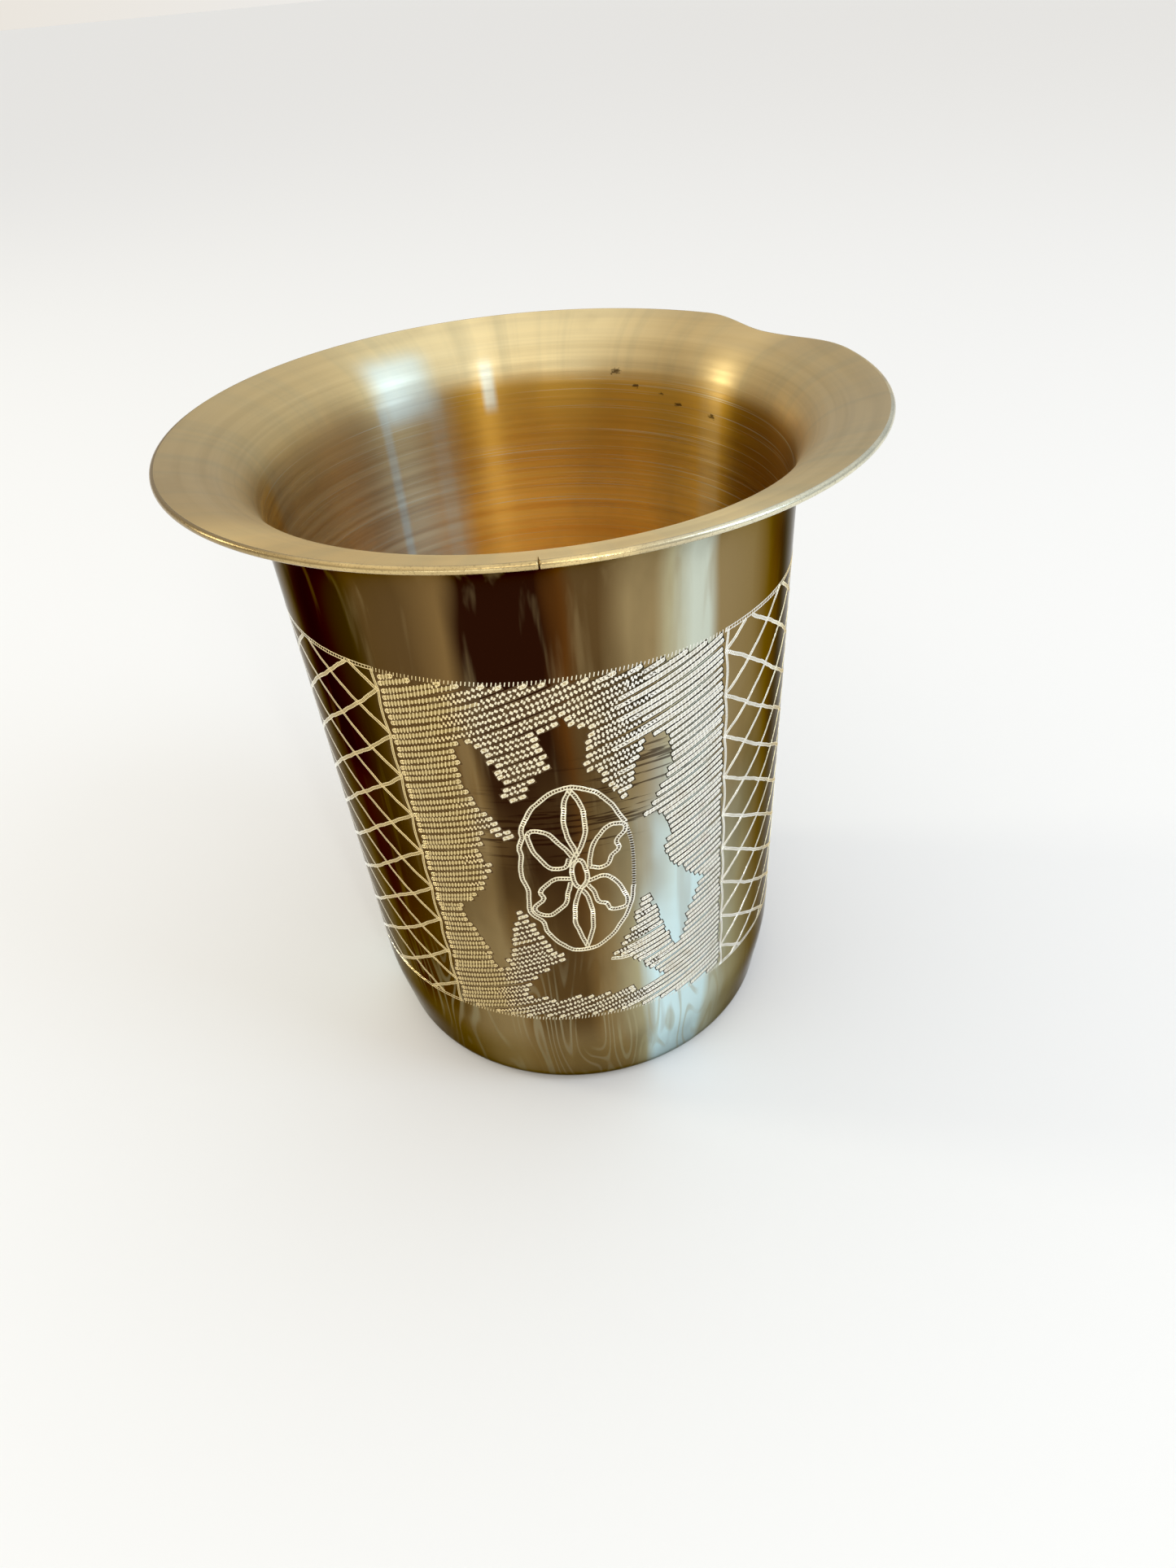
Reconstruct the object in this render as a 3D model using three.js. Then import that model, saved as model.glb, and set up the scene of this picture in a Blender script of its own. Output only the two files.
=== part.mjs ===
// Panchpatra: a small ritual water cup, spun from one disc of sheet brass.
// Millimetres, +Z up. The origin is the centre of the base, on the face that the cup rests on.
// A turn angle is measured from -Y, the front of the engraved panel, towards +X.

import * as THREE from "three";

// Driving dimensions
const MOUTH_RADIUS = 42.5;
const HEIGHT = 89.4;
const SHEET = 0.85;

// Base and heel
const BASE_FLAT_RADIUS = 25.6;
const HEEL_RADIUS = 28.6;
const HEEL_HEIGHT = 2.9;
const HEEL_LEAN = 0.16;
const FOOT_HEIGHT = 13.0;
const FOOT_RADIUS = 30.15;

// Wall: it widens slowly from the foot to the throat of the flare
const THROAT_RADIUS = 32.1;
const THROAT_HEIGHT = 73.9;

// Flare: the turned-out mouth, with how far its curve holds the wall's line and the lip's line
const FLARE_WALL_HOLD = 10.4;
const FLARE_LIP_HOLD = 9.7;
const LIP_RISE_DEGREES = 11.8;

// Knock in the lip, at the back right: a soft dip with one steep and one gentle side
const DIP_ANGLE = 125;
const DIP_STEEP_SPAN = 14;
const DIP_GENTLE_SPAN = 23;
const DIP_DEPTH = 1.05;
const DIP_PUSH_IN = 0.8;
const DIP_ROOT_RADIUS = 33.5;

// Fineness of the faceted surface
const TURN_STEPS = 96;
const HEEL_STEPS = 5;
const FOOT_STEPS = 4;
const WALL_STEPS = 2;
const FLARE_STEPS = 10;
const LIP_STEPS = 5;

const BRASS = new THREE.MeshStandardMaterial({
  name: "polished_brass",
  color: 0xb98a3c,
  roughness: 0.22,
  metalness: 1.0,
});

// The outside of the sheet from the centre of the base to the lip, as curves in (radius, height).
// Each curve starts where the one before it ends, in the same direction, except at the axis.
function outsideCurves() {
  const point = (radius, height) => new THREE.Vector2(radius, height);
  const wallSlope = (THROAT_RADIUS - FOOT_RADIUS) / (THROAT_HEIGHT - FOOT_HEIGHT);
  const rise = THREE.MathUtils.degToRad(LIP_RISE_DEGREES);
  const lipDirection = point(Math.cos(rise), Math.sin(rise));
  const lipNormal = point(Math.sin(rise), -Math.cos(rise));

  const baseEdge = point(BASE_FLAT_RADIUS, 0);
  const heelTop = point(HEEL_RADIUS, HEEL_HEIGHT);
  const footTop = point(FOOT_RADIUS, FOOT_HEIGHT);
  const throat = point(THROAT_RADIUS, THROAT_HEIGHT);
  const lipCentre = point(MOUTH_RADIUS - SHEET / 2, HEIGHT - SHEET / 2);
  const lipUnder = lipCentre.clone().addScaledVector(lipNormal, SHEET / 2);

  const heelReach = 0.6 * HEEL_HEIGHT;
  const footReach = (FOOT_HEIGHT - HEEL_HEIGHT) / 3;
  const heel = new THREE.CubicBezierCurve(
    baseEdge,
    point(baseEdge.x + heelReach, 0),
    point(heelTop.x - HEEL_LEAN * heelReach, heelTop.y - heelReach),
    heelTop,
  );
  const foot = new THREE.CubicBezierCurve(
    heelTop,
    point(heelTop.x + HEEL_LEAN * footReach, heelTop.y + footReach),
    point(footTop.x - wallSlope * footReach, footTop.y - footReach),
    footTop,
  );
  const flare = new THREE.CubicBezierCurve(
    throat,
    point(throat.x + wallSlope * FLARE_WALL_HOLD, throat.y + FLARE_WALL_HOLD),
    lipUnder.clone().addScaledVector(lipDirection, -FLARE_LIP_HOLD),
    lipUnder,
  );
  return [
    { curve: new THREE.LineCurve(point(0, 0), baseEdge), steps: 1 },
    { curve: heel, steps: HEEL_STEPS },
    { curve: foot, steps: FOOT_STEPS },
    { curve: new THREE.LineCurve(footTop, throat), steps: WALL_STEPS },
    { curve: flare, steps: FLARE_STEPS },
  ];
}

// The closed section of the sheet: the outside, a round lip, and the inside one sheet away.
function sheetSection() {
  const outside = [new THREE.Vector2(0, 0)];
  const inside = [new THREE.Vector2(0, SHEET)];
  for (const { curve, steps } of outsideCurves()) {
    for (let i = 1; i <= steps; i++) {
      const at = curve.getPoint(i / steps);
      const along = curve.getTangent(i / steps);
      const inward = new THREE.Vector2(-along.y, along.x);
      outside.push(at);
      inside.push(at.clone().addScaledVector(inward, SHEET));
    }
  }
  const from = outside[outside.length - 1];
  const to = inside[inside.length - 1];
  const centre = from.clone().add(to).multiplyScalar(0.5);
  const arm = from.clone().sub(centre);
  const lip = [];
  for (let i = 1; i < LIP_STEPS; i++) {
    const turned = arm.clone().rotateAround(new THREE.Vector2(), (Math.PI * i) / LIP_STEPS);
    lip.push(centre.clone().add(turned));
  }
  return [...outside, ...lip, ...inside.reverse()];
}

// How far the knock has moved the lip at a turn angle, from 0 to 1.
function dipAt(degrees) {
  const away = degrees - DIP_ANGLE;
  const span = away > 0 ? DIP_STEEP_SPAN : DIP_GENTLE_SPAN;
  const u = Math.min(Math.abs(away) / span, 1);
  return Math.cos((Math.PI / 2) * u) ** 2;
}

// Bends the flare down and in at the knock, fading to nothing at the dip's root radius.
function knockLip(geometry) {
  const position = geometry.getAttribute("position");
  for (let i = 0; i < position.count; i++) {
    const x = position.getX(i);
    const y = position.getY(i);
    const radius = Math.hypot(x, y);
    const fade = THREE.MathUtils.smoothstep(radius, DIP_ROOT_RADIUS, MOUTH_RADIUS);
    const degrees = THREE.MathUtils.radToDeg(Math.atan2(x, -y));
    const amount = fade * dipAt(degrees);
    if (amount > 0) {
      const narrower = 1 - (DIP_PUSH_IN * amount) / radius;
      position.setXYZ(i, x * narrower, y * narrower, position.getZ(i) - DIP_DEPTH * amount);
    }
  }
}

// The whole cup: base, heel, wall and flare are one continuous sheet.
function makeVessel() {
  const geometry = new THREE.LatheGeometry(sheetSection(), TURN_STEPS);
  geometry.rotateX(Math.PI / 2);
  knockLip(geometry);
  geometry.computeVertexNormals();
  const vessel = new THREE.Mesh(geometry, BRASS);
  vessel.name = "vessel";
  return vessel;
}

const panchpatra = new THREE.Group();
panchpatra.name = "panchpatra";
panchpatra.add(makeVessel());

export default panchpatra;
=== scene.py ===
import math

import bpy
import numpy as np
from bpy.props import FloatProperty, FloatVectorProperty, IntProperty, PointerProperty
from mathutils import Matrix, Vector


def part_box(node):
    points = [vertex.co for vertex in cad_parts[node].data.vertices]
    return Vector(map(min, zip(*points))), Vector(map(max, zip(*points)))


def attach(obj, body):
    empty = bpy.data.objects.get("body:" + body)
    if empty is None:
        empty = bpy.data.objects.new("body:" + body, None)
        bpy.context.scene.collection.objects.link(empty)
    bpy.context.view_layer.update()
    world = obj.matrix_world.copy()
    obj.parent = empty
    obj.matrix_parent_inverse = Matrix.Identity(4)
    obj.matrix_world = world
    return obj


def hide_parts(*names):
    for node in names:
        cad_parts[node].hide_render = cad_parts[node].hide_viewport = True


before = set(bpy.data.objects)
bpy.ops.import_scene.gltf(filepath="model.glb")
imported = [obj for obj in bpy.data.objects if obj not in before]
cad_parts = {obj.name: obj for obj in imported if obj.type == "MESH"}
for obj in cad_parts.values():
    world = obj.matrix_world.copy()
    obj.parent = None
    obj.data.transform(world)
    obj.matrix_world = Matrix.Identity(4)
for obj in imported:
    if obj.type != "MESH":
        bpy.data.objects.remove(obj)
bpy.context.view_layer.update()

bl_info = {
    "name": "Panchpatra",
    "version": (1, 0, 0),
    "blender": (4, 5, 0),
    "location": "3D View > Sidebar > Panchpatra",
    "description": "A spun brass ritual cup with a wriggle-engraved band",
    "category": "Add Mesh",
}

MM = 0.001
TAU = 2 * math.pi


# Colour values

def linear_rgb(code):
    """The linear red, green and blue of an sRGB hex code such as "#b98a3c"."""
    srgb = [int(code[i:i + 2], 16) / 255 for i in (1, 3, 5)]
    return tuple(c / 12.92 if c <= 0.04045 else ((c + 0.055) / 1.055) ** 2.4 for c in srgb)


# Sizes and colours that a user would change

def length(name, description, millimetres):
    """A length property, given in millimetres and kept in metres."""
    return FloatProperty(name=name, description=description, default=millimetres * MM,
                         unit="LENGTH", precision=5)


def angle(name, description, degrees):
    """An angle property, given in degrees."""
    return FloatProperty(name=name, description=description, default=math.radians(degrees),
                         subtype="ANGLE")


def colour(name, description, code):
    """A colour property, given as an sRGB hex code."""
    return FloatVectorProperty(name=name, description=description, default=linear_rgb(code),
                               subtype="COLOR", size=3, min=0, max=1)


class ShellSizes(bpy.types.PropertyGroup):
    """Sizes of the spun sheet. The mouth and the height come from the frame."""
    sheet: length("Sheet", "Thickness of the brass sheet", 0.85)
    base_flat: length("Base flat", "Radius of the flat face that the cup rests on", 25.6)
    heel_radius: length("Heel radius", "Cup radius where the heel ends", 28.6)
    heel_height: length("Heel height", "Height where the heel ends", 2.9)
    foot_radius: length("Foot radius", "Cup radius where the straight wall starts", 30.15)
    foot_height: length("Foot height", "Height where the straight wall starts", 13)
    throat_radius: length("Throat radius", "Cup radius where the flare starts", 32.1)
    throat_height: length("Throat height", "Height where the flare starts", 73.9)
    wall_hold: length("Wall hold", "How far the flare keeps the wall's direction", 10.4)
    lip_hold: length("Lip hold", "How far the flare keeps the lip's direction", 9.7)
    lip_rise: angle("Lip rise", "Slope of the sheet at the lip", 11.8)
    dip_angle: angle("Dip angle", "Turn angle of the knock in the lip", 125)
    dip_depth: length("Dip depth", "How far the knock has bent the lip down", 1.05)
    dip_push: length("Dip push", "How far the knock has bent the lip in", 0.8)


class BandSizes(bpy.types.PropertyGroup):
    """Sizes of the engraved band."""
    top: length("Top", "Height of the top border line", 70.95)
    bottom: length("Bottom", "Height of the bottom border line", 16.45)
    mean_radius: length("Mean radius", "Wall radius at which the design is laid out flat", 31.2)
    pitch: length("Pitch", "Length along a stroke from one rung to the next", 0.46)
    swing: length("Swing", "How far a stroke swings to each side of its line", 0.3)
    fine_swing: length("Fine swing", "The same, on the flower", 0.25)
    line_swing: length("Line swing", "The same, on the lattice and the side lines", 0.18)
    cut_width: length("Cut width", "Width of one cut of the graver", 0.2)
    burr: length("Burr", "Height of the burr that the graver raises", 0.045)
    row_spacing: length("Row spacing", "Height from one hatched row to the next", 0.89)
    row_rise: angle("Row rise", "How much the hatched rows rise to the right", 18)
    lattice_pitch: length("Lattice pitch", "Height of one diamond of the lattice", 5.97)
    panels: IntProperty(name="Panels", description="Leaf panels round the cup", default=3, min=2)


class BrassColours(bpy.types.PropertyGroup):
    """Colours of the brass, one for each finish."""
    # Painted reflections: the wall tones from wall dark to wall pale colour the wall's columns,
    # dark where it mirrors a dark room and grey to pale blue where it mirrors a window. Some also
    # serve as random tones and scratches.
    wall: colour("Wall", "Polished wall, browned by age", "#5c4526")
    wall_dark: colour("Wall dark", "The darkest brown of the wall", "#270f05")
    wall_shade: colour("Wall shade", "Deep olive brown of the wall", "#3b2d15")
    wall_warm: colour("Wall warm", "Warm brown in the dark columns", "#583410")
    wall_gold: colour("Wall gold", "Golden brown of the wall", "#7b6038")
    wall_khaki: colour("Wall khaki", "Lighter golden brown of the wall", "#958058")
    wall_grey: colour("Wall grey", "Greyer tarnish of the wall", "#b3ab88")
    wall_silver: colour("Wall silver", "Pale grey tarnish of the wall", "#cbd2c2")
    wall_pale: colour("Wall pale", "The palest, coolest tarnish of the wall", "#dffaff")
    inside: colour("Inside", "Turned brass down inside", "#f8c65e")
    # Inside deep, dull and pale colour the painted reflection columns inside, deep as painted
    # shade; inside pale is also a painted highlight on the flare and lip, and a random pale tone
    inside_deep: colour("Inside deep", "Darker gold down inside", "#9a7315")
    inside_dull: colour("Inside dull", "Greyer brass down inside", "#e2d1a8")
    inside_pale: colour("Inside pale", "Rubbed pale brass inside", "#e0eee6")
    flare: colour("Flare", "Satin brass of the turned-out mouth", "#d9c08b")
    # Painted highlight: the paler back of the mouth, where it mirrors the bright room
    flare_back: colour("Flare back", "The paler brass at the back of the mouth", "#f7e3ae")
    lip: colour("Lip", "Bright worn edge of the lip", "#e9cf95")
    # Painted light: the cut tones and the row tones run from golden on the left of a panel to pale
    # where lit on the right
    cut: colour("Cut", "Fresh bright metal in the engraving", "#faf0d0")
    cut_gold: colour("Cut gold", "Golden metal in the engraving", "#f4dca2")
    cut_pale: colour("Cut pale", "The palest metal in the engraving", "#fffef6")
    row: colour("Row", "Worked metal between the rungs of a row", "#a58f59")
    row_light: colour("Row light", "Lighter worked metal between the rungs", "#c6b489")
    row_pale: colour("Row pale", "Paler worked metal between the rungs", "#d6d3c3")
    # Painted shade: these three tones colour the dark strips under and between the rows and strokes
    grime: colour("Grime", "Old polish between the cuts", "#5e441d")
    grime_dark: colour("Grime dark", "The darkest old polish between the cuts", "#5a452e")
    grime_grey: colour("Grime grey", "Greyer old polish between the cuts", "#2f2a1c")
    speck: colour("Speck", "Dark tarnish specks", "#4a3516")
    floor: colour("Floor", "Plain pale floor", "#f5f5f4")


def shell_sizes():
    """The shell's sizes in the current scene."""
    return bpy.context.scene.panchpatra_shell


def band_sizes():
    """The band's sizes in the current scene."""
    return bpy.context.scene.panchpatra_band


def colours():
    """The brass colours in the current scene."""
    return bpy.context.scene.panchpatra_colours


# Meshes

def add_piece(name, vertices, faces, materials, kinds=0, smooth=False):
    """Makes an object from vertices in metres, faces as lists of corners, and the number of each
    face's material."""
    mesh = bpy.data.meshes.new(name)
    mesh.from_pydata(vertices, [], faces)
    for material in materials:
        mesh.materials.append(material)
    kinds = np.array(np.broadcast_to(kinds, len(faces)), np.int32)
    mesh.polygons.foreach_set("material_index", kinds)
    mesh.polygons.foreach_set("use_smooth", np.full(len(faces), smooth))
    mesh.update(calc_edges=True)
    piece = bpy.data.objects.new(name, mesh)
    bpy.context.scene.collection.objects.link(piece)
    return piece


def smoothstep(values, low, high):
    """0 below low, 1 above high, and 3t^2 - 2t^3 between them."""
    t = np.clip((values - low) / (high - low), 0, 1)
    return t * t * (3 - 2 * t)


# The spun shell

# Finishes of the shell, in the order of its materials
BASE, WALL, LIP, INSIDE = range(4)

# Steps of the surface along each stretch of the section, and round the cup
BASE_STEPS = 6
HEEL_STEPS = 12
FOOT_STEPS = 12
WALL_STEPS = 18
FLARE_STEPS = 36
LIP_STEPS = 12
TURN_STEPS = 360

# How far the heel leans out at its top, and the share of its height over which it turns
HEEL_LEAN = 0.16
HEEL_HOLD = 0.6

# The knock's two sides, and the split in the lip at the front
DIP_STEEP_SPAN = math.radians(14)
DIP_GENTLE_SPAN = math.radians(23)
DIP_ROOT = 33.5 * MM
SPLIT_HALF_ANGLE = math.radians(0.12)
SPLIT_DEPTH = 1.5 * MM
SPLIT_SHARE = 0.9
SPLIT_FLANKS = np.radians((-0.36, -0.12, -0.05, 0.05, 0.12, 0.36))


def bezier(start, leaving, arriving, end, steps):
    """Points and unit directions of a cubic curve, without its start: start, start + leaving, end -
    arriving and end, weighted by (1-t)^3, 3t(1-t)^2, 3t^2(1-t) and t^3."""
    a, b, c, d = start, start + leaving, end - arriving, end
    t = np.linspace(0, 1, steps + 1)[1:, None]
    at = (1 - t) ** 3 * a + 3 * t * (1 - t) ** 2 * b + 3 * t * t * (1 - t) * c + t ** 3 * d
    along = (1 - t) ** 2 * (b - a) + 2 * t * (1 - t) * (c - b) + t * t * (d - c)
    return at, along / np.linalg.norm(along, axis=1, keepdims=True)


def wall_slope(size):
    """How fast the straight wall widens upwards."""
    return (size.throat_radius - size.foot_radius) / (size.throat_height - size.foot_height)


def sheet_section(size, mouth, height):
    """The closed section of the sheet in (radius, height), and the finish of each step: a chain of
    curves from the axis to the lip, the same chain one sheet away along its normal, and half a
    circle that joins them."""
    flat = np.array((1, 0))
    heel_way = np.array((HEEL_LEAN, 1))
    wall_way = np.array((wall_slope(size), 1))
    lip_way = np.array((math.cos(size.lip_rise), math.sin(size.lip_rise)))
    under = np.array((lip_way[1], -lip_way[0])) * size.sheet / 2

    axis = np.zeros(2)
    base_edge = flat * size.base_flat
    heel_top = np.array((size.heel_radius, size.heel_height))
    foot_top = np.array((size.foot_radius, size.foot_height))
    throat = np.array((size.throat_radius, size.throat_height))
    lip_centre = np.array((mouth, height)) - size.sheet / 2
    heel_reach = HEEL_HOLD * size.heel_height
    foot_reach = (size.foot_height - size.heel_height) / 3
    wall_third = (throat - foot_top) / 3
    stretches = (
        (axis, base_edge / 3, base_edge / 3, base_edge, BASE_STEPS),
        (base_edge, flat * heel_reach, heel_way * heel_reach, heel_top, HEEL_STEPS),
        (heel_top, heel_way * foot_reach, wall_way * foot_reach, foot_top, FOOT_STEPS),
        (foot_top, wall_third, wall_third, throat, WALL_STEPS),
        (throat, wall_way * size.wall_hold, lip_way * size.lip_hold, lip_centre + under,
         FLARE_STEPS),
    )
    parts = [bezier(*stretch) for stretch in stretches]
    outside = np.vstack([axis] + [points for points, _ in parts])
    ways = np.vstack([flat] + [way for _, way in parts])
    inside = outside + np.stack((-ways[:, 1], ways[:, 0]), 1) * size.sheet
    finish = np.full(len(outside) - 1, WALL)
    finish[:BASE_STEPS] = BASE

    turn = np.linspace(0, math.pi, LIP_STEPS + 1)[1:-1, None]
    lip = lip_centre + np.cos(turn) * under + np.sin(turn) * np.array((-under[1], under[0]))
    section = np.vstack((outside, lip, inside[::-1]))
    return section, np.concatenate((finish, np.full(LIP_STEPS, LIP),
                                    np.full(len(finish), INSIDE)))


def bend_lip(radius, height, turn, size, mouth):
    """The knock lowers and narrows the flare by cos^2 of the distance from its middle, fading
    towards the throat. The split squeezes the last stretch of sheet inwards by a share that peaks
    at the front."""
    away = (turn - size.dip_angle + math.pi) % TAU - math.pi
    span = np.where(away > 0, DIP_STEEP_SPAN, DIP_GENTLE_SPAN)
    dip = np.cos(math.pi / 2 * np.minimum(np.abs(away) / span, 1)) ** 2
    amount = dip * smoothstep(radius, DIP_ROOT, mouth)
    off = np.abs((turn + math.pi) % TAU - math.pi)
    notch = SPLIT_SHARE * np.clip(1 - off / SPLIT_HALF_ANGLE, 0, 1)
    past = np.maximum(radius - mouth + SPLIT_DEPTH, 0)
    return radius - size.dip_push * amount - notch * past, height - size.dip_depth * amount


def turned_surface(section, turns, bend):
    """Turns a section about Z: (r, z) at a turn t goes to (r sin t, -r cos t, z), and its two ends
    lie on the axis. Gives the vertices, the quads between the rings, and the triangles at the two
    ends."""
    ring = section[1:-1]
    radius, turn = np.meshgrid(ring[:, 0], turns, indexing="ij")
    height = np.broadcast_to(ring[:, 1:2], radius.shape)
    radius, height = bend(radius, height, turn)
    grid = np.stack((radius * np.sin(turn), -radius * np.cos(turn), height), -1).reshape(-1, 3)
    index = np.arange(radius.size).reshape(radius.shape)
    ahead = np.roll(index, -1, axis=1)
    quads = np.stack((index[:-1], ahead[:-1], ahead[1:], index[1:]), -1).reshape(-1, 4)
    first = np.full(len(turns), radius.size)
    bottom = np.stack((ahead[0], index[0], first), -1)
    top = np.stack((index[-1], ahead[-1], first + 1), -1)
    poles = np.array(((0, 0, section[0, 1]), (0, 0, section[-1, 1])))
    return np.vstack((grid, poles)), quads, np.vstack((bottom, top))


class PANCHPATRA_OT_shell(bpy.types.Operator):
    """Adds the spun brass shell: base, heel, wall, flare and lip as one closed sheet"""
    bl_idname = "panchpatra.shell"
    bl_label = "Add Spun Shell"

    def execute(self, context):
        size = shell_sizes()
        _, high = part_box("vessel")
        section, finish = sheet_section(size, high.x, high.z)
        turns = np.arange(TURN_STEPS) * TAU / TURN_STEPS
        turns = np.unique(np.concatenate((turns, SPLIT_FLANKS % TAU)))
        vertices, quads, triangles = turned_surface(
            section, turns, lambda *at: bend_lip(*at, size, high.x))
        paints = (turned_base_brass, browned_polished_brass, worn_lip_brass, satin_turned_brass)
        shell = add_piece("cup_shell", vertices, quads.tolist() + triangles.tolist(),
                          [painted(paint.__name__, paint) for paint in paints],
                          np.repeat(np.append(finish[1:-1], finish[[0, -1]]), len(turns)), True)
        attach(shell, "root")
        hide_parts("vessel")
        return {"FINISHED"}


# The engraving, laid out flat: s runs round the wall at its mean radius, z is the height

# Corners of the plain figure that the hatching leaves, as (degrees, millimetres), anticlockwise
# from the tip of the bud. The figure is a bud on a stem between two pairs of leaves.
BUD_LEFT = ((0.3, 67.4), (-0.4, 65), (-2.4, 64.6), (-4.7, 64.7), (-4.2, 62.7), (-3.3, 60.9),
            (-2.8, 59.1), (-5.4, 58.4), (-7.8, 56.2), (-8.6, 55.2), (-12.4, 55))
UPPER_LEAF_LEFT = ((-12.6, 57.6), (-13.6, 59.6), (-15, 61.1), (-16.4, 62.3), (-18.6, 63.3),
                   (-20.5, 63), (-21.5, 61.2), (-21.5, 58.2), (-20.3, 55.3), (-18, 53.6),
                   (-14.4, 51.3), (-12.1, 49.6))
LOWER_LEAF_LEFT = ((-14.6, 49.1), (-17.1, 50.4), (-19.6, 49.5), (-20.6, 46.4), (-19, 44.6),
                   (-19, 42.9), (-20.8, 40.8), (-23.2, 39), (-26.6, 37.2), (-28.3, 36.4),
                   (-25.4, 32.4), (-23.5, 29.6), (-20.6, 25.5))
ROOT_LEFT = ((-18, 26.8), (-16, 31), (-14.8, 35), (-13.2, 37.6), (-11.8, 36.4),
             (-9.9, 33.4), (-7, 30.2), (-3.4, 27.5), (-7.6, 26.7), (-10.6, 25.5),
             (-12.6, 23.8), (-14.8, 21.8), (-17.2, 19.9))
FOOT = ((-14.6, 20.6), (-8, 20.8), (-7.6, 20), (-2.6, 20.7), (1.5, 20.7), (2.1, 20),
        (6.2, 20.6), (11.9, 20.8), (12.2, 20.1), (16.2, 20.6), (21.6, 21))
ROOT_RIGHT = ((19.2, 22.7), (16.3, 24), (14.9, 25), (12.2, 27), (8.2, 28.1),
              (11, 30.3), (13.2, 32.5), (14.2, 34.2), (16.6, 37.7), (18, 35.5),
              (20, 31.2), (22.2, 27.1), (24.5, 25.5))
LOWER_LEAF_RIGHT = ((25.6, 26.6), (26.8, 29), (28.6, 31.8), (30.4, 34.1), (31.8, 36.4),
                    (28.6, 37.9), (26.4, 39.2), (24.2, 40.9), (22, 43), (21.7, 44.1),
                    (23.5, 45.6), (23.3, 47.5), (22.4, 48.8), (20.6, 49.8), (17, 50.4))
UPPER_LEAF_RIGHT = ((18.2, 51.2), (20.8, 53.4), (23, 55.3), (24, 56.8), (24, 60),
                    (22.4, 61), (20, 61.5), (17.6, 61), (16.2, 59.8), (15.6, 58.1),
                    (14.4, 56.1), (13.4, 54.2), (12.6, 53.6))
BUD_RIGHT = ((10.3, 55.6), (8.6, 56.5), (7.9, 58), (5, 59), (4.6, 60.2), (5.6, 62.4),
             (6.4, 64.3), (4, 64.8), (2.6, 64.8), (1.4, 66.6))
FIGURE = (BUD_LEFT + UPPER_LEAF_LEFT + LOWER_LEAF_LEFT + ROOT_LEFT + FOOT + ROOT_RIGHT
          + LOWER_LEAF_RIGHT + UPPER_LEAF_RIGHT + BUD_RIGHT)
STRAY_STROKE = ((12.2, 27), (9.6, 26.9), (7.1, 27.2))

# The panel's side lines lean a little: turn angles at the top and at the bottom, in degrees. They
# bow out between the nodes of the lattice.
LEFT_LINE = (-36.8, -34.6)
RIGHT_LINE = (37.8, 39.1)
LINE_BOW = 0.32 * MM

# The flower in its oval, cut by hand and a little uneven, as (degrees, millimetres)
OVAL = ((13.6, 39.4), (12, 35.3), (8.1, 32), (3.3, 29.9), (-1.5, 29.9), (-4.7, 31.3),
        (-7.4, 33.2), (-8.1, 35.2), (-10.8, 37.2), (-10.6, 40.5), (-11.5, 43.6), (-11, 46.3),
        (-11.2, 47.6), (-10.1, 49.2), (-10, 50.5), (-7.6, 53.5), (-3.1, 55.7), (1.1, 56.5),
        (5.9, 55.4), (9.7, 52.9), (12.3, 50))
OVAL_SIDE = ((12.3, 50), (13.5, 46.8), (13.8, 43.6), (13.6, 39.4))
HEART = ((1.4, 45.3), (2.6, 44.6), (3.1, 43), (2.6, 41.4), (1.2, 40.8), (0.2, 41.6),
         (-0.4, 43.2), (0.2, 44.7))
TOP_PETAL_LEFT = ((1, 56), (-0.4, 54.2), (-0.8, 52), (-0.5, 49.6), (1.2, 45.9))
TOP_PETAL_RIGHT = ((1, 56), (2.9, 54.2), (3.5, 52), (3.1, 48.4), (0.4, 45.4), (-0.4, 44.4))
LOW_PETAL_LEFT = ((3, 41.7), (0.4, 39.5), (-0.5, 36.4), (-0.4, 33.9), (1.5, 30.3))
LOW_PETAL_RIGHT = ((1.7, 40.2), (3, 38.4), (3.6, 35.8), (2.9, 32.8), (1.5, 30.3))
UPPER_LEFT_PETAL = ((0.1, 45.9), (-2.3, 48.2), (-4.7, 49.9), (-7.7, 50.3), (-8.9, 49.3),
                    (-7.9, 46.8), (-5, 44.5), (-1.8, 44.3), (-0.6, 45.6))
UPPER_RIGHT_PETAL = ((3.9, 44), (4.5, 46.7), (6.4, 48.8), (9.1, 49.9), (11.9, 49.7),
                     (12.2, 48.7), (10.3, 47.3), (10.6, 46.1), (8.9, 45.2), (7.9, 44),
                     (5.9, 43.5), (4, 43.9))
LOWER_LEFT_PETAL = ((-0.7, 42.4), (-4.2, 42.4), (-6.5, 41.5), (-7.9, 40.3), (-7.4, 39.2),
                    (-9.6, 37.6), (-8.4, 36.6), (-5.7, 36.5), (-2.5, 38.2), (-1.6, 40.3),
                    (-0.8, 41.7))
LOWER_RIGHT_PETAL = ((3.4, 41.7), (6.6, 42.1), (9.1, 41.2), (11, 39.1), (11.8, 37.2),
                     (11, 36.1), (7.9, 36.2), (6.8, 37.3), (5.2, 37.9), (4.4, 39.6),
                     (3.1, 41))
FLOWER = (OVAL, OVAL_SIDE, HEART + HEART[:1], TOP_PETAL_LEFT, TOP_PETAL_RIGHT, LOW_PETAL_LEFT,
          LOW_PETAL_RIGHT, UPPER_LEFT_PETAL, UPPER_RIGHT_PETAL, LOWER_LEFT_PETAL,
          LOWER_RIGHT_PETAL)


def laid_flat(points, band):
    """Points in (degrees, millimetres) as (s, z) in metres."""
    return np.asarray(points, float) * (math.radians(1) * band.mean_radius, MM)


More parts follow.
